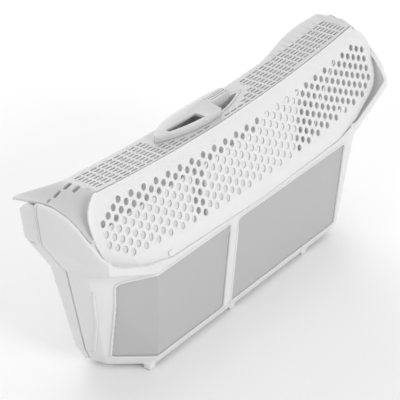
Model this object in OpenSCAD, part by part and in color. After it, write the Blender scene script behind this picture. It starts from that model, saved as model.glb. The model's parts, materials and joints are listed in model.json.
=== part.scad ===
// Fold-open lint filter cassette: a curved tray on top, a mesh pocket below, split lengthwise.
// X runs along the cassette, -Y faces the drum, +Y the door, +Z is up.
// The origin is the middle of the footprint, level with the feet.

/* [Overall] */
// Length over the tray's front corners
tray_len = 330; // [300:5:360]
// Extra length at each end, from the front corner to the rear corner
end_flare = 13; // [8:1:16]
// Depth from the front of the pocket to its rear, at the pocket's top
depth = 62; // [56:1:70]
// Height of the pocket, without its feet
pocket_h = 80; // [64:1:96]
// Height of the ridge above the pocket, at mid length
ridge_h = 61.5; // [56:0.5:66]
// Height of the feet and radius of the hinge barrels
foot_h = 3; // [3:0.5:4]

/* [Walls] */
// Wall of the housings
wall = 2; // [1.6:0.2:2.4]
// Thickness of the deck
skin = 1.8; // [1.4:0.2:2.2]
// Gap between the two halves along their seam
seam_gap = 0.8; // [0.6:0.1:1]
// Depth of the rear half behind the seam
rear_depth = 12; // [10:1:14]

/* [Drum side panel] */
// Lean of the panel from upright, in degrees
panel_lean = 18.5; // [15:0.5:20]
// Thickness of the panel
panel_t = 1.2; // [1:0.1:1.6]
// Diameter of the panel's holes
hole_d = 4.8; // [3.5:0.1:5]
// Distance between neighbouring holes
hole_pitch = 7.2; // [6.4:0.1:8]
// Rows of holes
hole_rows = 11; // [7:1:11]
// Plain margin beside the longest rows of holes
hole_margin = 5; // [4:0.5:9]

/* [Deck] */
// Radius of the upward curve of the ridge and the deck
smile_r = 1620; // [1200:20:2400]
// Place of the lowest point of that curve along the tray
smile_x = -25; // [-40:1:10]
// Pitch of the slots along the deck
slot_pitch = 7.8; // [7:0.1:9]
// Length of one slot
slot_len = 6.3; // [4:0.1:6.6]
// Width of one slot
slot_w = 1.6; // [1:0.1:1.8]
// Pitch of the rows of slots across the deck
slot_row = 2.9; // [2.7:0.1:3.4]
// Rows of slots
slot_rows = 8; // [6:1:8]

/* [Grip] */
// Length of the lens-shaped grip
grip_len = 98; // [80:1:104]
// Width of the grip
grip_w = 20; // [17:0.5:21]
// Distance of the grip's middle from the middle of the tray
grip_x = -21; // [-30:1:30]
// Depth of the grip's bowl below the deck
grip_deep = 20; // [14:1:22]

/* [Mesh windows] */
// Bar between the left and the right window
bar_w = 9.5; // [8:0.5:14]
// Place of that bar along the tray
bar_x = -32; // [-40:1:40]
// Frame round the windows
frame_w = 9; // [8:0.5:11]
// Thickness of the mesh sheet
mesh_t = 0.5; // [0.4:0.1:0.8]
// How far the mesh lies behind the face of the frame
mesh_inset = 1; // [0.8:0.1:1.1]

/* [Hinge] */
// Diameter of the hinge pins
pin_d = 2.4; // [2:0.1:2.8]
// Radial clearance of a pin in the rear half's barrels
pin_fit = 0.05; // [0.03:0.01:0.1]
// Length of one hinge barrel
barrel_len = 12; // [9:1:14]
// Gap between neighbouring barrels
barrel_gap = 0.6; // [0.4:0.1:0.8]

/* [Hidden] */
$fn = 48;
eps = 0.01;
fine = 720;

// Levels: pocket_top is where the tray begins, y_front is the front of the pocket there
rear_horn = 4;
y_front = -(depth + rear_horn) / 2;
y_seam = y_front + depth - rear_depth;
pocket_top = foot_h + pocket_h;
ridge_z = pocket_top + ridge_h;
corner_x = tray_len / 2;
// Places along the tray that move with its length
stretch = tray_len / 330;

// Height gained by the ridge and the deck at a distance x from the middle
function rise(x, r) = r - sqrt(r * r - x * x);
function smile(x) = rise(x - smile_x, smile_r);
function ridge_y(x) = y_front + (ridge_h + smile(x)) * tan(panel_lean);

// Plan of the pocket: half length of the flat front, of the end of the corner panel, and of the rear
corner_in = 47;
mid_in = 17;
back_in = 14;
corner_depth = 33;
// The pocket narrows downwards
front_draft = 6;
rear_draft = 4.5;
end_draft = 16;
low_z = 12;
base_round = 6;

module pocket_plan(shrink_x, front_in, rear_in) {
    flat_x = corner_x - corner_in - shrink_x / 2;
    mid_x = corner_x - mid_in - shrink_x;
    back_x = corner_x - back_in - shrink_x;
    y0 = y_front + front_in;
    y1 = y_front + corner_depth + front_in / 3;
    y2 = y_front + depth - rear_in;
    polygon([[-flat_x, y0], [flat_x, y0], [mid_x, y1], [back_x, y2], [-back_x, y2], [-mid_x, y1]]);
}

// Outer form of the pocket, drawn in by t on every side; an inner form is open at the top
module pocket_form(t) {
    open = t > 0 ? 1 : 0;
    hull() {
        translate([0, 0, pocket_top + open]) linear_extrude(eps)
            offset(delta = -t) pocket_plan(0, 0, 0);
        translate([0, 0, foot_h + low_z]) linear_extrude(eps)
            offset(delta = -t) pocket_plan(end_draft, front_draft, rear_draft);
        translate([0, 0, foot_h + t]) linear_extrude(eps)
            offset(delta = -t)
                pocket_plan(end_draft + base_round, front_draft + base_round, rear_draft + base_round / 2);
    }
}

// Corners of the tray's outer form: x from the middle, y from the pocket's front, z from its top
lip_low = 21;
lip_high = 28;
rear_low = 33;
rim_end = 60.5;
function tray_corners() = [
    [corner_x - corner_in, 0, 0],
    [corner_x, 1, lip_low],
    [corner_x, 1, lip_high],
    [corner_x + 1.5, 8, 40.5],
    [corner_x + 6, 29, 54],
    [corner_x + 10, 46, rim_end],
    [corner_x + end_flare, depth, rim_end],
    [corner_x + end_flare - 4, depth, rear_low],
    [corner_x - back_in, depth, 0],
    [corner_x - mid_in, corner_depth, 0],
    [corner_x - 15, ridge_h * tan(panel_lean), ridge_h + 2.5],
    [corner_x - 15, depth - rear_depth + 3, ridge_h + 4.5]
];

module tray_form(t) {
    middle = depth / 2;
    hull()
        for (side = [-1, 1])
            for (c = tray_corners())
                translate([
                    side * (c.x - t),
                    y_front + c.y + (c.y < middle ? t : -t),
                    pocket_top + c.z + (c.z > ridge_h / 2 ? -t : 0)
                ]) cube(eps, center = true);
}

// Top of the end walls, as height over depth; the right one is fuller at the front
rim_back = [[29, 54.2], [39, 59.3], [46, 60.5], [70, 60.8]];
rim_left = concat([[-5, 28.3], [1, 28.3], [7, 32], [16.4, 42], [22.5, 48.8]], rim_back);
rim_right = concat([[-5, 28.3], [1, 28.3], [3.9, 33.8], [8.2, 39.5], [13.5, 44.2], [20, 49]], rim_back);
function rim(side) = side < 0 ? rim_left : rim_right;
function rim_z(side, y) = pocket_top + lookup(y, rim(side));

module above_rim() {
    sky = 40;
    for (side = [-1, 1])
        translate([side * tray_len / 2, y_front, pocket_top]) rotate([90, 0, 90])
            linear_extrude(tray_len + 2, center = true)
                polygon(concat(rim(side), [[70, ridge_h + sky], [-5, ridge_h + sky]]));
}

// Front lip of the tray: high at the corners, fading out towards the middle
lip_shape = [[0, 1.5], [100, 4], [127, 10], [150, 19.5], [162, 26.5]];
lip_line = [for (p = lip_shape) [p.x * stretch, p.y]];
lip_end = lip_line[len(lip_line) - 1].x;
module above_lip() {
    reach = 26;
    right = [for (p = lip_line) p];
    left = [for (i = [len(lip_line) - 1 : -1 : 1]) [-lip_line[i].x, lip_line[i].y]];
    top = [[lip_end, 2 * ridge_h], [-lip_end, 2 * ridge_h]];
    translate([0, y_front + reach, pocket_top]) rotate([90, 0, 0])
        linear_extrude(reach + 2) polygon(concat(right, top, left));
}

module behind_seam(shift) {
    translate([-tray_len, y_seam + shift, -1]) cube([2 * tray_len, depth, 2 * ridge_z]);
}

module before_seam(shift) {
    translate([-tray_len, y_seam + shift - 2 * depth, -1]) cube([2 * tray_len, 2 * depth, 2 * ridge_z]);
}

// Section of the space above the curved surface of the deck
module smile_2d() {
    translate([smile_x, smile_r]) circle(r = smile_r, $fn = fine);
}
module above_smile(drop) {
    translate([0, y_front + 1.5 * depth, ridge_z - drop]) rotate([90, 0, 0])
        linear_extrude(2 * depth) smile_2d();
}

// The rear half's top slopes down from the deck's rear edge at 45 degrees
slope_half = tray_len / 2 + 20;
slope_step = slope_half / 16;
module above_slope(drop) {
    translate([0, y_seam, ridge_z - drop]) rotate([45, 0, 0])
        linear_extrude(3 * depth, center = true) polygon(concat(
            [for (x = [-slope_half : slope_step : slope_half]) [x, smile(x) * cos(45)]],
            [[slope_half, depth], [-slope_half, depth]]
        ));
}

// Outlines of the mesh windows, seen from the front; they run round the pocket's corners
win_low = foot_h + low_z - 3;
win_top = pocket_top - 1;
round_r = 3;
// The left window runs on round the pocket's corner
corner_wrap = 17;
module soft_corners() {
    offset(r = round_r) offset(delta = -round_r) children();
}
module window_2d(side) {
    bar_edge = bar_x + side * bar_w / 2;
    flat_x = corner_x - corner_in + (side > 0 ? -12 : 0);
    wrap = side > 0 ? 0 : corner_wrap;
    far_x = side * (flat_x + wrap);
    low_x = side * (flat_x + 0.65 * wrap - 1);
    soft_corners() polygon([
        [bar_edge, win_top],
        [side * flat_x, win_top],
        [far_x, win_top - 0.35 * wrap],
        [low_x, win_low],
        [bar_edge, win_low]
    ]);
}
rear_bar_x = 7;
rear_top = pocket_top + 5;
step_x = 92;
step_up = 11;
module rear_window_2d(side) {
    edge = rear_bar_x + side * bar_w / 2;
    far_x = side * (corner_x - back_in - frame_w - 2);
    low_x = side * (corner_x - back_in - end_draft - frame_w);
    high = rear_top + step_up;
    step = side > 0 ? [[far_x, high], [step_x, high], [step_x - step_up, rear_top]] : [[far_x, rear_top]];
    soft_corners() polygon(concat([[edge, win_low], [low_x, win_low]], step, [[edge, rear_top]]));
}
module front_prism() {
    translate([0, y_front + 36, 0]) rotate([90, 0, 0]) linear_extrude(40) children();
}
module rear_prism() {
    translate([0, y_front + depth + 2, 0]) rotate([90, 0, 0]) linear_extrude(9) children();
}

// Hinge: three sets of barrels on one axis; the outer two of each set belong to the front half
set_x = [-88, 0, 88];
barrel_step = barrel_len + barrel_gap;
module along_x(x, len, r) {
    translate([x - len / 2, y_seam, foot_h]) rotate([0, 90, 0]) cylinder(r = r, h = len);
}
module front_barrels(r, extra) {
    for (x = set_x) for (s = [-1, 1]) along_x(x + s * barrel_step, barrel_len + extra, r);
}
module rear_barrels(r, extra) {
    for (x = set_x) along_x(x, barrel_len + extra, r);
}

// Feet under the front edge
foot_in = 53;
foot_x = [foot_in - corner_x, -20, 72];
foot_len = 6;
module feet() {
    for (x = foot_x)
        translate([x, y_front + front_draft + base_round, 0]) cube([foot_len, foot_len, foot_h + 1]);
}

module front_housing() color("gainsboro") {
    difference() {
        union() {
            difference() {
                union() {
                    pocket_form(0);
                    tray_form(0);
                }
                pocket_form(wall);
                tray_form(wall);
                behind_seam(-seam_gap / 2);
                above_rim();
                above_lip();
                saddle_rebate();
                front_prism() window_2d(-1);
                front_prism() window_2d(1);
                rear_barrels(foot_h + barrel_gap, 2 * barrel_gap);
            }
            feet();
            front_barrels(foot_h, 0);
        }
        along_x(0, 2 * tray_len, pin_d / 2);
    }
}

top_drop = 2.2;
module rear_housing() color("lightgrey") {
    difference() {
        union() {
            difference() {
                union() {
                    pocket_form(0);
                    tray_form(0);
                }
                difference() {
                    union() {
                        pocket_form(wall);
                        tray_form(wall);
                    }
                    above_slope(top_drop + wall * sqrt(2));
                }
                before_seam(seam_gap / 2);
                above_slope(top_drop);
                above_horn();
                arm_notch();
                rear_prism() rear_window_2d(-1);
                rear_prism() rear_window_2d(1);
                front_barrels(foot_h + barrel_gap, 2 * barrel_gap);
            }
            rear_barrels(foot_h, 0);
        }
        along_x(0, 2 * tray_len, pin_d / 2 + pin_fit);
    }
}

// The saddles of the deck hang over the rear housing's ends
module above_horn() {
    for (side = [-1, 1])
        translate([side * corner_x, y_front + depth, pocket_top + rim_end + 20 - 1.5])
            cube([2 * (corner_x - saddle_x) + 1, 2 * rear_depth + 4, 40], center = true);
}

// The end walls are rebated under the saddles' edges, which lie sheet_gap / 2 clear of them
function rebate_x(y) = corner_x + end_flare * y / left_horn - wall - sheet_gap / 2;
module saddle_rebate() {
    sky = 40;
    drop = skin + 2 * sheet_gap;
    for (side = [-1, 1]) {
        front = saddle_front(side) - 1;
        intersection() {
            translate([side * tray_len / 2, y_front, pocket_top - drop]) rotate([90, 0, 90])
                linear_extrude(tray_len + 2, center = true)
                    polygon(concat(rim(side), [[70, ridge_h + sky], [-5, ridge_h + sky]]));
            translate([0, y_front, 0]) linear_extrude(2 * ridge_z) polygon([
                [side * saddle_x, front],
                [side * rebate_x(front), front],
                [side * rebate_x(depth), depth],
                [side * saddle_x, depth]
            ]);
        }
    }
}

// One stub pin for each set of barrels
module hinge_pin(i) color("darkgrey") along_x(set_x[i], 3 * barrel_len + 2 * barrel_gap, pin_d / 2);

// Mesh sheets follow the inside of the pocket's wall
module whole_form(t) {
    pocket_form(t);
    tray_form(t);
}
module mesh_layer() {
    difference() {
        whole_form(mesh_inset);
        whole_form(mesh_inset + mesh_t);
    }
}
module front_mesh(side) color("silver") intersection() {
    mesh_layer();
    front_prism() window_2d(side);
}
module rear_mesh(side) color("silver") intersection() {
    mesh_layer();
    rear_prism() rear_window_2d(side);
}

// Rims that hold the mesh, moulded round the inside of each window
rim_w = 1.6;
module rim_layer() {
    difference() {
        whole_form(mesh_inset + mesh_t);
        whole_form(wall + 1);
    }
}
module front_mesh_rim(side) color("whitesmoke") difference() {
    intersection() {
        rim_layer();
        front_prism() window_2d(side);
    }
    front_prism() offset(delta = -rim_w) window_2d(side);
}
module rear_mesh_rim(side) color("whitesmoke") difference() {
    intersection() {
        rim_layer();
        rear_prism() rear_window_2d(side);
    }
    rear_prism() offset(delta = -rim_w) rear_window_2d(side);
}

// Perforated panel: flat, leaning back, its top edge and its rows of holes curved like the deck
panel_gap = 0.3;
top_row_drop = 12.5;
row_shift = -2.4;
row_r = 1250;
side_rows = [0, 0.5, 1, 1.5, 1, 1.5, 1, 1.5, 1, 0.5, 0];
col_pitch = hole_pitch * sqrt(3);
row_pitch = hole_pitch / 2;
function slope(z) = z / cos(panel_lean);
panel_side = [[157, 24], [161, 30], [163, 38], [163.5, 48], [163, 54], [161, 59], [158, 62.5], [154, 65.5]];
panel_top_x = 148;
panel_top_z = 72;
// Holes in the top row: the longest rows have three more and fill the panel's width up to the margin
panel_wide = max([for (p = panel_side) p.x]) * stretch;
row_holes = floor(2 * (panel_wide - hole_margin) / col_pitch - 3);
module panel_outline() {
    low = [for (p = lip_line) if (p.x < panel_side[0].x * stretch) [p.x, slope(p.y) + panel_gap]];
    edge = [for (p = panel_side) [p.x * stretch, slope(p.y)]];
    top_x = panel_top_x * stretch;
    right = concat(low, edge);
    top = slope(ridge_h) + 20;
    left = [for (i = [len(right) - 1 : -1 : 1]) [-right[i].x, right[i].y]];
    difference() {
        polygon(concat(
            right,
            [[top_x, panel_top_z], [top_x, top], [-top_x, top], [-top_x, panel_top_z]],
            left
        ));
        translate([0, slope(ridge_h)]) smile_2d();
    }
}
module panel_holes() {
    for (k = [0 : hole_rows - 1]) {
        half = (row_holes - 1) / 2 + side_rows[k];
        for (i = [-half : 1 : half + (side_rows[k] < 1.5 ? 1 : 0)]) {
            x = i * col_pitch;
            y = slope(ridge_h - top_row_drop) - k * row_pitch + rise(x, row_r);
            translate([x + row_shift, y]) circle(d = hole_d, $fn = 24);
        }
    }
}
module drum_side_panel() color("whitesmoke")
    translate([0, y_front, pocket_top]) rotate([90 - panel_lean, 0, 0]) translate([0, 0, -panel_t])
        linear_extrude(panel_t) difference() {
            panel_outline();
            panel_holes();
        }

// Deck: a curved plate with rows of slots, and a saddle at each end that runs down to the rim
saddle_x = corner_x - 17;
deck_back = y_seam - 0.5;
// The deck's rear edge swells out over the rear half near its right end
swell = 9;
swell_x = 125;
swell_half = 62;
function deck_rear(x) =
    let(t = (x - swell_x) / swell_half)
    deck_back + (abs(t) < 1 ? swell * pow(1 - t * t, 2) : 0);
function deck_front(x) = ridge_y(x) + panel_t / cos(panel_lean) + panel_gap;
module lens_2d(len, w) {
    r = (len * len + w * w) / (4 * w);
    intersection() {
        translate([0, r - w / 2]) circle(r = r, $fn = fine);
        translate([0, w / 2 - r]) circle(r = r, $fn = fine);
    }
}
module slot_2d() {
    straight = slot_len - slot_w;
    square([straight, slot_w], center = true);
    for (s = [-1, 1]) translate([s * straight / 2, 0]) circle(d = slot_w, $fn = 16);
}
// Rows of slots run up to the grip's front edge and past both of its ends
slot_margin = 4.6;
function slot_clear(x, y) =
    let(near = max(0, abs(x - grip_x) - slot_len / 2), half = grip_len / 2 + 2)
    near > half || y + slot_w / 2 + 1.2 < grip_y + grip_front(near);
module deck_slots() {
    columns = floor((saddle_x - slot_len / 2 - 1) / slot_pitch);
    for (i = [-columns : columns]) for (j = [0 : slot_rows - 1]) {
        x = i * slot_pitch;
        y = deck_back - slot_margin - j * slot_row;
        if (slot_clear(x, y) && y - slot_w / 2 - 0.6 > deck_front(x)) translate([x, y]) slot_2d();
    }
}
module oval_2d(len, w) {
    square([len - w, w], center = true);
    for (s = [-1, 1]) translate([s * (len - w) / 2, 0]) circle(d = w);
}
// Larger oval openings where the left saddle begins: place from the left corner and rear edge, length, width
ovals = [[13, -13, 6.4, 3.4], [12.4, -6.5, 7.4, 3], [4, -5, 6.5, 2.6], [-3, -4, 4, 1.6]];
module saddle_openings() {
    sky = 20;
    for (o = ovals) translate([-corner_x + o[0], deck_back + o[1], ridge_z - sky])
        linear_extrude(2 * sky) oval_2d(o[2], o[3]);
}
grip_y = deck_back - grip_w / 2 - 2;
module tab_notch() {
    reach = tab_y + tab_thick / 2 + tab_fit - grip_y;
    translate([tab_x - tab_w / 2 - tab_fit, grip_y]) square([tab_w + 2 * tab_fit, reach]);
}
module deck_plate() {
    step = 10;
    front = [for (x = [-saddle_x : step : saddle_x - 1]) [x, deck_front(x)]];
    rear = [for (x = [saddle_x - 5 : -step / 2 : 40]) [x, deck_rear(x)]];
    intersection() {
        translate([0, 0, ridge_z - 6]) linear_extrude(24) difference() {
            polygon(concat(
                front, [[saddle_x, deck_front(saddle_x)], [saddle_x, deck_rear(saddle_x)]],
                rear, [[-saddle_x, deck_back]]
            ));
            deck_slots();
            translate([grip_x, grip_y]) lens_2d(grip_len, grip_w);
            tab_notch();
        }
        difference() {
            above_smile(skin);
            above_smile(0);
        }
    }
}

// Saddle: a sheet from the end of the deck plate (u = 0) to the rim (u = 1), front w = 0, rear w = 1
// Its front edge lies just behind the panel, down to the rim
function saddle_front(side) = side < 0 ? 15.4 : 17.3;
left_horn = depth + rear_horn;
right_horn = depth - rear_depth + 8;
horn_rise = 1.5;
sheet_gap = 0.5;
function mix(a, b, t) = a + (b - a) * t;
function ease(t) = t * t * (3 - 2 * t);
tuck_y = depth - rear_depth + 1;
function tuck(y) = (wall + sheet_gap) * (y < tuck_y ? 1 : (left_horn - y) / (left_horn - tuck_y));
function saddle_point(side, u, w) =
    let(
        horn = side < 0 ? left_horn : right_horn,
        y_rim = mix(saddle_front(side), horn, w),
        x_rim = corner_x + end_flare * y_rim / left_horn - tuck(y_rim),
        z_rim = rim_z(side, y_rim) - sheet_gap + horn_rise * w,
        y_deck = mix(deck_front(side * saddle_x), deck_rear(side * saddle_x), w) - y_front,
        z_deck = ridge_z + smile(side * saddle_x)
    )
    [side * mix(saddle_x, x_rim, u), y_front + mix(y_deck, y_rim, ease(u)), mix(z_deck, z_rim, ease(u))];
saddle_steps = 10;
module saddle(side) {
    n = saddle_steps;
    m = n + 1;
    top = [for (i = [0 : n]) for (j = [0 : n]) saddle_point(side, i / n, j / n)];
    low = [for (p = top) p - [0, 0, skin]];
    all = m * m;
    cells = [for (i = [0 : n - 1]) for (j = [0 : n - 1])
        let(a = i * m + j, b = (i + 1) * m + j) [a, a + 1, b + 1, b]];
    up = [for (c = cells) for (t = [[c[0], c[1], c[2]], [c[0], c[2], c[3]]]) t];
    down = [for (t = up) [t[2] + all, t[1] + all, t[0] + all]];
    ring = concat(
        [for (j = [0 : n - 1]) j],
        [for (i = [0 : n - 1]) i * m + n],
        [for (j = [n : -1 : 1]) n * m + j],
        [for (i = [n : -1 : 1]) i * m]
    );
    count = len(ring);
    sides = [for (k = [0 : count - 1])
        let(a = ring[k], b = ring[(k + 1) % count])
        for (t = [[b, a, a + all], [b, a + all, b + all]]) t];
    faces = concat(up, down, sides);
    polyhedron(points = concat(top, low), faces = side > 0 ? faces : [for (f = faces) [f[2], f[1], f[0]]]);
}
module deck_cover() color("gainsboro") {
    deck_plate();
    difference() {
        saddle(-1);
        saddle_openings();
    }
    saddle(1);
}

// Grip: a lens-shaped bowl let into the deck, bridged over its rear and left part
grip_wall = 1.4;
grip_fit = 0.3;
grip_rise = 0.8;
bridge_rise = 5.2;
bridge_t = 2;
bridge_reach = 11.4;
bridge_end = 36;
slot_end = -6;
open_from = 10;
module at_grip(z) {
    translate([grip_x, grip_y, z]) children();
}
// Front and rear edge of the grip, measured from its middle line
function bulge(x, power) = 1 - pow(abs(2 * x / (grip_len + 4)), power);
function grip_front(x) = -(grip_w / 2 + 1) * bulge(x, 2);
function grip_rear(x) = bridge_reach * bulge(x, 3.5);
module grip_bowl() color("silver") {
    outer_len = grip_len - 2 * grip_fit;
    outer_w = grip_w - 2 * grip_fit;
    floor_z = ridge_z - grip_deep;
    difference() {
        at_grip(floor_z) linear_extrude(grip_deep + grip_rise) lens_2d(outer_len, outer_w);
        at_grip(floor_z + grip_wall) linear_extrude(grip_deep + grip_rise)
            lens_2d(outer_len - 8 * grip_wall, outer_w - 2 * grip_wall);
        tab_room();
    }
}

// Outline of the bridge, drawn in by t: pointed at the left, open to the front at the right
module bridge_2d(t) {
    step = 3;
    start = -(grip_len / 2 + 1) + 2 * t;
    front = [for (x = [start : step : open_from]) [x, grip_front(x) + t]];
    rear = [for (x = [bridge_end - t : -step : start]) [x, grip_rear(x) - t]];
    right = [[open_from + 2, -3], [open_from + 3.1, 1.2], [bridge_end - 1, 1.2], [bridge_end - t, 3]];
    polygon(concat(front, right, rear));
}
module finger_slot() {
    front_w = 2.2;
    start = -grip_len / 2 + 11;
    step = 4;
    front = [for (x = [start : step : slot_end]) [x, grip_front(x) + front_w]];
    rear = [for (x = [slot_end : -step : start]) [x, 0.8 - 2.5 * (x - start) / grip_len]];
    polygon(concat(front, rear));
}
module grip_bridge() color("gainsboro") difference() {
    intersection() {
        at_grip(ridge_z - skin) linear_extrude(bridge_rise + skin) bridge_2d(0);
        above_smile(-sheet_gap / 2);
        union() {
            at_grip(ridge_z + bridge_rise - bridge_t) linear_extrude(bridge_t) bridge_2d(0);
            difference() {
                at_grip(ridge_z - skin) linear_extrude(bridge_rise) bridge_2d(0);
                at_grip(ridge_z - 2 * skin) linear_extrude(bridge_rise + 2 * skin) bridge_2d(grip_wall);
            }
        }
    }
    at_grip(ridge_z - skin) linear_extrude(grip_deep) finger_slot();
    at_grip(ridge_z - 2 * skin) linear_extrude(2 * skin + grip_rise + grip_fit) lens_2d(grip_len, grip_w);
    tab_room();
}

// Release tab: a thumb block let into the bridge; its arm reaches back over the catch.
// It tips on the thin moulded flexure between its foot and the bowl.
tab_x = grip_x + 24;
tab_w = 21;
tab_fit = 0.3;
tab_thick = 5.6;
tab_foot = 0.6;
foot_r = 2.9;
arm_w = 9;
arm_t = 2.4;
arm_top = ridge_z - 5;
arm_z = arm_top - arm_t / 2;
tab_y = grip_y + 3.7;
arm_end = y_seam + 1.6;
tab_top = ridge_z + bridge_rise;
module tab_room() {
    low = arm_top - arm_t - tab_foot;
    translate([tab_x - tab_w / 2 - tab_fit, tab_y - tab_thick / 2 - tab_fit, low - 5 * tab_fit])
        cube([tab_w + 2 * tab_fit, tab_thick + 2 * tab_fit, 2 * grip_deep]);
    translate([tab_x - arm_w / 2 - tab_fit, tab_y, arm_top - arm_t - tab_fit])
        cube([arm_w + 2 * tab_fit, arm_end - tab_y, arm_t + 1.6]);
}
module release_tab() color("whitesmoke") {
    slit = 0.9;
    low = arm_top - arm_t - tab_foot;
    difference() {
        translate([tab_x - tab_w / 2, tab_y - tab_thick / 2, low]) cube([tab_w, tab_thick, tab_top - low]);
        for (s = [-1, 1])
            translate([tab_x - tab_w / 2 + 2, tab_y + s * tab_thick / 5 - slit / 2, tab_top - 3])
                cube([tab_w, slit, 4]);
    }
    translate([tab_x - arm_w / 2, tab_y, arm_top - arm_t]) cube([arm_w, arm_end - tab_y, arm_t]);
    translate([tab_x - tab_w / 2, tab_y, arm_z]) rotate([0, 90, 0]) cylinder(r = foot_r, h = tab_w);
}
// The arm's end lies in a notch in the rear housing's top edge
module arm_notch() {
    translate([tab_x - arm_w / 2 - 2 * tab_fit, y_seam, arm_top - arm_t - tab_fit])
        cube([arm_w + 4 * tab_fit, arm_end - y_seam + 2 * tab_fit, 2 * grip_deep]);
}
module latch_catch() color("whitesmoke") difference() {
    catch_w = 12;
    catch_h = 3.2;
    intersection() {
        translate([tab_x - catch_w / 2, y_seam + seam_gap, arm_top - arm_t - tab_fit - catch_h])
            cube([catch_w, rear_depth, catch_h]);
        tray_form(wall);
    }
    above_slope(top_drop + wall * sqrt(2));
}

// Clips that hold the panel's lower edge to the lip
clip_x = [-104 * stretch, 117 * stretch];
clip_size = [4, 3, 1.4];
module panel_clips() color("white")
    translate([0, y_front, pocket_top]) rotate([90 - panel_lean, 0, 0])
        for (x = clip_x) translate([x, 6, 0]) cube(clip_size);

// Soft strips on the front half that close the seam at the tray's ends
strip_t = 0.4;
strip_proud = 0.3;
module seam_strip(side) color("white") difference() {
    tray_form(-strip_proud);
    tray_form(wall);
    before_seam(-seam_gap / 2);
    behind_seam(-seam_gap / 2 + strip_t);
    above_rim();
    saddle_rebate();
    translate([-side * (2 * tray_len - corner_x + 20), 0, ridge_z]) cube(4 * tray_len, center = true);
    translate([-tray_len, -depth, 0]) cube([2 * tray_len, 2 * depth, pocket_top + 12]);
}

front_housing();
drum_side_panel();
deck_cover();
panel_clips();
grip_bowl();
grip_bridge();
release_tab();
front_mesh(-1);  // front_mesh_left
front_mesh(1);  // front_mesh_right
front_mesh_rim(-1);  // front_mesh_rim_left
front_mesh_rim(1);  // front_mesh_rim_right
hinge_pin(0);  // hinge_pin_left
hinge_pin(1);  // hinge_pin_middle
hinge_pin(2);  // hinge_pin_right
rear_housing();
rear_mesh(-1);  // rear_mesh_left
rear_mesh(1);  // rear_mesh_right
rear_mesh_rim(-1);  // rear_mesh_rim_left
rear_mesh_rim(1);  // rear_mesh_rim_right
latch_catch();
seam_strip(-1);  // seam_strip_left
seam_strip(1);  // seam_strip_right
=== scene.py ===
"""Fold-open lint filter cassette of white plastic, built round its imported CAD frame."""
import json
import math
import bmesh
import bpy
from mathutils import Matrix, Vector
from mathutils.bvhtree import BVHTree

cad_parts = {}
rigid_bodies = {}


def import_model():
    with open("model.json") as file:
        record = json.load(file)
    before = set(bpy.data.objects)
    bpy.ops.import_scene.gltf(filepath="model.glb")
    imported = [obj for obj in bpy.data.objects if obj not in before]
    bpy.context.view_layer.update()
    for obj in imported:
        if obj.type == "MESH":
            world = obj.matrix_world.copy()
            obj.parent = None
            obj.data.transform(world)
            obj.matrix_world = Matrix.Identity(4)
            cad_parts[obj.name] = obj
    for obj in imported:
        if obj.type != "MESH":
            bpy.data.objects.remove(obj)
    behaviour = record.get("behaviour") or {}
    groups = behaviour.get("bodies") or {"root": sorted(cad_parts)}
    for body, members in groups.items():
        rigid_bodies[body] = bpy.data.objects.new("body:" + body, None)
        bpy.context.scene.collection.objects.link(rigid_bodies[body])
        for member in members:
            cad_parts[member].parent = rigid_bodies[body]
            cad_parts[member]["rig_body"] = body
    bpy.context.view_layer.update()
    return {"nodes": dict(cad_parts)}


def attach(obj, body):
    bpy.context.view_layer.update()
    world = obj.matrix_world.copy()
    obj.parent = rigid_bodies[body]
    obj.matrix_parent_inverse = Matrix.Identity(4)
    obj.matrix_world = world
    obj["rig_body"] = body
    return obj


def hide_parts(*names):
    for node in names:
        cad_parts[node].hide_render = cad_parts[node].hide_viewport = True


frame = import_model()
nodes = frame["nodes"]

MM = 0.001


# ---------------------------------------------------------------- camera
def make_camera():
    data = bpy.data.cameras.new("camera")
    data.lens = 161.1
    data.sensor_width = 36.0
    data.clip_start = 0.05
    cam = bpy.data.objects.new("camera", data)
    cam.location = (-0.88696, -0.62299, 0.68194)
    cam.rotation_euler = (math.radians(60.645), 0.0, math.radians(-54.075))
    bpy.context.scene.collection.objects.link(cam)
    bpy.context.scene.camera = cam


make_camera()


# ---------------------------------------------------------------- materials
class Tree:
    """A node tree with one Principled shader, and short ways to add to it."""

    def __init__(self, name):
        self.mat = bpy.data.materials.new(name)
        self.mat.use_nodes = True
        self.nodes = self.mat.node_tree.nodes
        self.links = self.mat.node_tree.links
        self.shader = self.nodes["Principled BSDF"]
        self.out = self.nodes["Material Output"]
        self.coords = self.nodes.new("ShaderNodeTexCoord")

    def add(self, kind, **values):
        node = self.nodes.new(kind)
        for key, value in values.items():
            if hasattr(node, key):
                setattr(node, key, value)
            else:
                node.inputs[key.replace("_", " ")].default_value = value
        return node

    def link(self, a, b):
        self.links.new(a, b)

    def noise(self, scale, detail=3.0):
        node = self.add("ShaderNodeTexNoise", Scale=scale, Detail=detail)
        self.link(self.coords.outputs["Object"], node.inputs["Vector"])
        return node.outputs["Fac"]

    def ramp(self, value, low, high, a=0.0, b=1.0):
        node = self.add("ShaderNodeMapRange")
        node.inputs["From Min"].default_value = a
        node.inputs["From Max"].default_value = b
        node.inputs["To Min"].default_value = low
        node.inputs["To Max"].default_value = high
        self.link(value, node.inputs["Value"])
        return node.outputs["Result"]

    def mix(self, factor, a, b):
        node = self.add("ShaderNodeMix", data_type="RGBA")
        node.inputs["A"].default_value = (*a, 1)
        node.inputs["B"].default_value = (*b, 1)
        self.link(factor, node.inputs["Factor"])
        return node.outputs["Result"]


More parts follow.
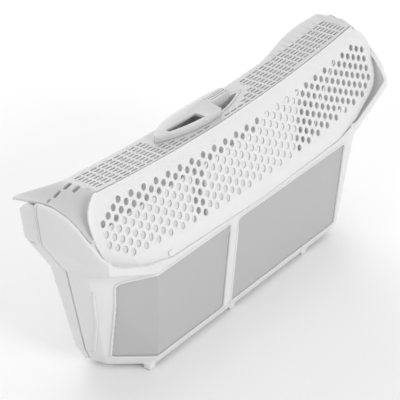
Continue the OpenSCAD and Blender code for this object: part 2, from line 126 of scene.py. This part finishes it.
def plastic(name, shade, rough=0.42):
    """Moulded white plastic: faint cloudiness, a fine grain and a little light passing through."""
    t = Tree(name)
    cloud = t.ramp(t.noise(30.0), 0.0, 1.0, 0.3, 0.7)
    dark = tuple(c * 0.975 for c in shade)
    t.link(t.mix(cloud, dark, shade), t.shader.inputs["Base Color"])
    t.link(t.ramp(t.noise(420.0), rough - 0.05, rough + 0.07), t.shader.inputs["Roughness"])
    t.shader.inputs["Specular IOR Level"].default_value = 0.45
    t.shader.inputs["Subsurface Weight"].default_value = 0.35
    t.shader.inputs["Subsurface Radius"].default_value = (0.004, 0.004, 0.004)
    t.shader.inputs["Subsurface Scale"].default_value = 1.0
    bump = t.add("ShaderNodeBump", Strength=0.12, Distance=0.0002)
    t.link(t.noise(1500.0, 2.0), bump.inputs["Height"])
    t.link(bump.outputs["Normal"], t.shader.inputs["Normal"])
    return t.mat


def woven(name, shade, cover):
    """Fine woven filter mesh: crossed threads with tiny openings between them."""
    t = Tree(name)
    split = t.add("ShaderNodeSeparateXYZ")
    t.link(t.coords.outputs["Object"], split.inputs["Vector"])
    waves = []
    for axis in ("X", "Z"):
        scaled = t.add("ShaderNodeMath", operation="MULTIPLY")
        scaled.inputs[1].default_value = 2 * math.pi / (0.45 * MM)
        t.link(split.outputs[axis], scaled.inputs[0])
        wave = t.add("ShaderNodeMath", operation="SINE")
        t.link(scaled.outputs[0], wave.inputs[0])
        waves.append(wave.outputs[0])
    both = t.add("ShaderNodeMath", operation="MAXIMUM")
    t.link(waves[0], both.inputs[0])
    t.link(waves[1], both.inputs[1])
    dark = tuple(c * 0.86 for c in shade)
    t.link(t.mix(t.ramp(both.outputs[0], 0.0, 1.0, -1.0, 1.0), dark, shade), t.shader.inputs["Base Color"])
    t.link(t.ramp(t.noise(60.0), 0.55, 0.7), t.shader.inputs["Roughness"])
    t.shader.inputs["Specular IOR Level"].default_value = 0.25
    t.shader.inputs["Alpha"].default_value = cover
    bump = t.add("ShaderNodeBump", Strength=0.25, Distance=0.00015)
    t.link(both.outputs[0], bump.inputs["Height"])
    t.link(bump.outputs["Normal"], t.shader.inputs["Normal"])
    return t.mat


def steel(name):
    """Plain drawn steel."""
    t = Tree(name)
    t.shader.inputs["Metallic"].default_value = 1.0
    t.shader.inputs["Base Color"].default_value = (0.6, 0.6, 0.61, 1)
    t.link(t.ramp(t.noise(300.0), 0.25, 0.4), t.shader.inputs["Roughness"])
    return t.mat


WHITE = plastic("white_plastic", (0.80, 0.80, 0.80))
# The deck's plastic (also used on the grip and tab) is painted darker than the white plastic, as painted
# shade for the shadows among its slots
DECK_PAINTED_SHADE = plastic("deck_plastic_painted_shade", (0.62, 0.62, 0.62), 0.46)
SHELL = plastic("shell_plastic", (0.76, 0.76, 0.76), 0.45)
MESH = woven("mesh", (0.57, 0.57, 0.57), 0.9)
# The rear mesh is drawn almost clear, so that light shows through the panel's holes; its threads are also
# painted light, as painted light from behind
REAR_MESH_PAINTED_LIGHT = woven("rear_mesh", (0.85, 0.85, 0.85), 0.15)
STEEL = steel("pin")


def set_material(obj, material):
    obj.data.materials.clear()
    obj.data.materials.append(material)


# ---------------------------------------------------------------- pieces made from the frame's shapes
SHARP = math.radians(28.0)
SHADED_SHARP = math.radians(35)


def softened(node, name, width, material):
    """A copy of a CAD piece with rounded edges, as a moulding's are; width 0 only smooths its shading."""
    source = nodes[node]
    mesh = source.data.copy()
    mesh.name = name
    bm = bmesh.new()
    bm.from_mesh(mesh)
    bmesh.ops.remove_doubles(bm, verts=bm.verts, dist=1e-6)
    if width > 0:
        bmesh.ops.dissolve_limit(bm, angle_limit=math.radians(0.6), verts=bm.verts, edges=bm.edges)
        sharp = []
        for edge in bm.edges:
            if len(edge.link_faces) == 2 and edge.calc_face_angle(0) > SHARP:
                sharp.append(edge)
        bmesh.ops.bevel(
            bm, geom=sharp, offset=width, offset_type="OFFSET", segments=2,
            profile=0.5, affect="EDGES", clamp_overlap=True,
        )
    for face in bm.faces:
        face.smooth = True
    bm.to_mesh(mesh)
    bm.free()
    obj = bpy.data.objects.new(name, mesh)
    bpy.context.scene.collection.objects.link(obj)
    set_material(obj, material)
    mesh.set_sharp_from_angle(angle=SHADED_SHARP)
    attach(obj, source["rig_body"])
    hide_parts(node)
    return obj


def moulded(node, name, voxel, rounds, keep, material):
    """A copy of a CAD piece with every edge melted round, as thin-walled mouldings are."""
    source = nodes[node]
    obj = bpy.data.objects.new(name, source.data.copy())
    bpy.context.scene.collection.objects.link(obj)
    remesh = obj.modifiers.new("remesh", "REMESH")
    remesh.mode = "VOXEL"
    remesh.voxel_size = voxel
    smooth = obj.modifiers.new("smooth", "SMOOTH")
    smooth.factor = 0.5
    smooth.iterations = rounds
    thin = obj.modifiers.new("thin", "DECIMATE")
    thin.ratio = keep
    graph = bpy.context.evaluated_depsgraph_get()
    mesh = bpy.data.meshes.new_from_object(obj.evaluated_get(graph))
    obj.modifiers.clear()
    obj.data = mesh
    mesh.name = name
    mesh.polygons.foreach_set("use_smooth", [True] * len(mesh.polygons))
    set_material(obj, material)
    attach(obj, source["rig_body"])
    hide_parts(node)
    return obj


softened("drum_side_panel", "panel_moulding", 0.25 * MM, WHITE)
softened("deck_cover", "deck_moulding", 0, DECK_PAINTED_SHADE)
moulded("front_housing", "front_shell", 0.6 * MM, 6, 0.2, SHELL)
moulded("rear_housing", "rear_shell", 0.8 * MM, 5, 0.3, SHELL)


# ---------------------------------------------------------------- beads on the shells
def surface(node):
    """A CAD piece's faces, ready for rays to be dropped on them."""
    source = nodes[node]
    bm = bmesh.new()
    bm.from_mesh(source.data)
    tree = BVHTree.FromBMesh(bm)
    bm.free()
    return tree


def smooth_path(points, steps):
    """Points of a Catmull-Rom curve through the given ones."""
    pts = [Vector(p) for p in points]
    pts = [2 * pts[0] - pts[1]] + pts + [2 * pts[-1] - pts[-2]]
    path = []
    for i in range(1, len(pts) - 2):
        a, b, c, d = pts[i - 1:i + 3]
        for k in range(steps):
            t = k / steps
            path.append(0.5 * (
                2 * b + (c - a) * t + (2 * a - 5 * b + 4 * c - d) * t * t
                + (3 * b - a - 3 * c + d) * t ** 3))
    path.append(pts[-2])
    return path


TUBE_SIDES = 10


def tube(name, path, radius, body, material):
    """A round bead swept along a path, pointed at both ends."""
    bm = bmesh.new()
    rings = []
    count = len(path)
    for i, p in enumerate(path):
        along = (path[min(i + 1, count - 1)] - path[max(i - 1, 0)]).normalized()
        side = along.cross(Vector((0, 1, 0))).normalized()
        out = side.cross(along).normalized()
        taper = min(1.0, 0.15 + 0.5 * min(i, count - 1 - i))
        ring = []
        for k in range(TUBE_SIDES):
            angle = 2 * math.pi * k / TUBE_SIDES
            across = side * (math.cos(angle) * radius * taper)
            ring.append(bm.verts.new(p + across + out * (math.sin(angle) * radius * taper)))
        rings.append(ring)
    for a, b in zip(rings, rings[1:]):
        for k in range(TUBE_SIDES):
            after = (k + 1) % TUBE_SIDES
            bm.faces.new((a[k], a[after], b[after], b[k]))
    bm.faces.new(rings[0][::-1])
    bm.faces.new(rings[-1])
    bmesh.ops.recalc_face_normals(bm, faces=bm.faces)
    mesh = bpy.data.meshes.new(name)
    bm.to_mesh(mesh)
    bm.free()
    mesh.polygons.foreach_set("use_smooth", [True] * len(mesh.polygons))
    obj = bpy.data.objects.new(name, mesh)
    bpy.context.scene.collection.objects.link(obj)
    set_material(obj, material)
    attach(obj, body)
    return obj


def front_bead(name, points, radius, sink, steps):
    """A bead laid on the front shell from the front, through (x, z) points in millimetres."""
    path = []
    for p in smooth_path([(x, 0, z) for x, z in points], steps):
        hit = FRONT.ray_cast(Vector((p.x * MM, AHEAD, p.z * MM)), Vector((0, 1, 0)))[0]
        if hit is not None:
            path.append(hit + Vector((0, radius * sink, 0)))
    if len(path) > 2:
        tube(name, path, radius, "front_half", SHELL)


FRONT = surface("front_housing")
AHEAD = -200 * MM

# One upright rib near each end of the pocket, from its top to its foot
RIB = [(144.5, 72), (138, 40), (132.5, 13)]
RIB_RADIUS = 1.3 * MM
for side, tag in ((-1, "left"), (1, "right")):
    front_bead("corner_rib_outer_" + tag, [(side * x, z) for x, z in RIB], RIB_RADIUS, sink=0.3, steps=8)


def rounded_outline(corners, radius, count=5):
    """The closed outline through the given corners, with each corner rounded, as (x, z) points."""
    path = []
    total = len(corners)
    for i, corner in enumerate(corners):
        c = Vector(corner)
        before = Vector(corners[i - 1]) - c
        after = Vector(corners[(i + 1) % total]) - c
        a = c + before.normalized() * radius
        b = c + after.normalized() * radius
        for k in range(count + 1):
            t = k / count
            path.append((1 - t) ** 2 * a + 2 * t * (1 - t) * c + t * t * b)
        far = Vector(corners[(i + 1) % total]) - after.normalized() * radius
        steps = max(2, int((far - b).length / 3))
        for k in range(1, steps):
            path.append(b.lerp(far, k / steps))
    path.append(path[0])
    return path


# A slim raised border runs round each mesh window; its corners lie 0.6 to 0.8 mm outside the CAD's openings
WINDOW_CORNER = 4.0
BORDER_RADIUS = 0.9 * MM
WINDOWS = {
    "left": [(-36.0, 82.6), (-118.2, 82.6), (-135.8, 76.6), (-128.8, 11.2), (-36.0, 11.2)],
    "right": [(-28.0, 82.6), (106.8, 82.6), (105.8, 11.2), (-28.0, 11.2)],
}
for tag, corners in WINDOWS.items():
    outline = rounded_outline(corners, WINDOW_CORNER)
    front_bead("window_border_" + tag, outline, BORDER_RADIUS, sink=0.35, steps=1)


# ---------------------------------------------------------------- grip, latch and the pieces kept as they are
softened("grip_bridge", "grip_bridge_moulding", 0.4 * MM, DECK_PAINTED_SHADE)
softened("grip_bowl", "grip_bowl_moulding", 0.3 * MM, DECK_PAINTED_SHADE)
softened("release_tab", "release_tab_moulding", 0.4 * MM, DECK_PAINTED_SHADE)
softened("latch_catch", "latch_catch_moulding", 0.3 * MM, SHELL)
for name in ("panel_clips", "seam_strip_left", "seam_strip_right"):
    set_material(nodes[name], WHITE)
for name in ("front_mesh_rim_left", "front_mesh_rim_right", "rear_mesh_rim_left", "rear_mesh_rim_right"):
    set_material(nodes[name], WHITE)
for name in ("front_mesh_left", "front_mesh_right"):
    set_material(nodes[name], MESH)
for name in ("rear_mesh_left", "rear_mesh_right"):
    set_material(nodes[name], REAR_MESH_PAINTED_LIGHT)
for name in ("hinge_pin_left", "hinge_pin_middle", "hinge_pin_right"):
    set_material(nodes[name], STEEL)


# ---------------------------------------------------------------- floor and light
def make_floor():
    mesh = bpy.data.meshes.new("floor")
    s = 6.0
    mesh.from_pydata([(-s, -s, 0), (s, -s, 0), (s, s, 0), (-s, s, 0)], [], [(0, 1, 2, 3)])
    floor = bpy.data.objects.new("floor", mesh)
    floor.location.z = -0.0004
    bpy.context.scene.collection.objects.link(floor)
    t = Tree("floor")
    t.shader.inputs["Base Color"].default_value = (0.95, 0.95, 0.95, 1)
    t.shader.inputs["Roughness"].default_value = 0.9
    set_material(floor, t.mat)


def make_lamp(name, place, size, power):
    data = bpy.data.lights.new(name, "AREA")
    data.size = size
    data.energy = power
    lamp = bpy.data.objects.new(name, data)
    lamp.location = place
    lamp.rotation_euler = (Vector((0, 0, 0.08)) - Vector(place)).to_track_quat("-Z", "Y").to_euler()
    bpy.context.scene.collection.objects.link(lamp)


def make_world(strength):
    world = bpy.data.worlds.new("world")
    world.use_nodes = True
    background = world.node_tree.nodes["Background"]
    background.inputs["Color"].default_value = (1, 1, 1, 1)
    background.inputs["Strength"].default_value = strength
    bpy.context.scene.world = world


make_floor()
make_world(0.62)
make_lamp("front", (-0.2, -1.7, 0.8), 0.8, 11)
make_lamp("left", (-1.8, -0.3, 0.9), 1.0, 3)
make_lamp("top", (0.3, 0.2, 1.8), 1.2, 4)
make_lamp("back", (0.9, 1.3, 0.7), 1.2, 13)
bpy.context.scene.view_settings.view_transform = "Standard"
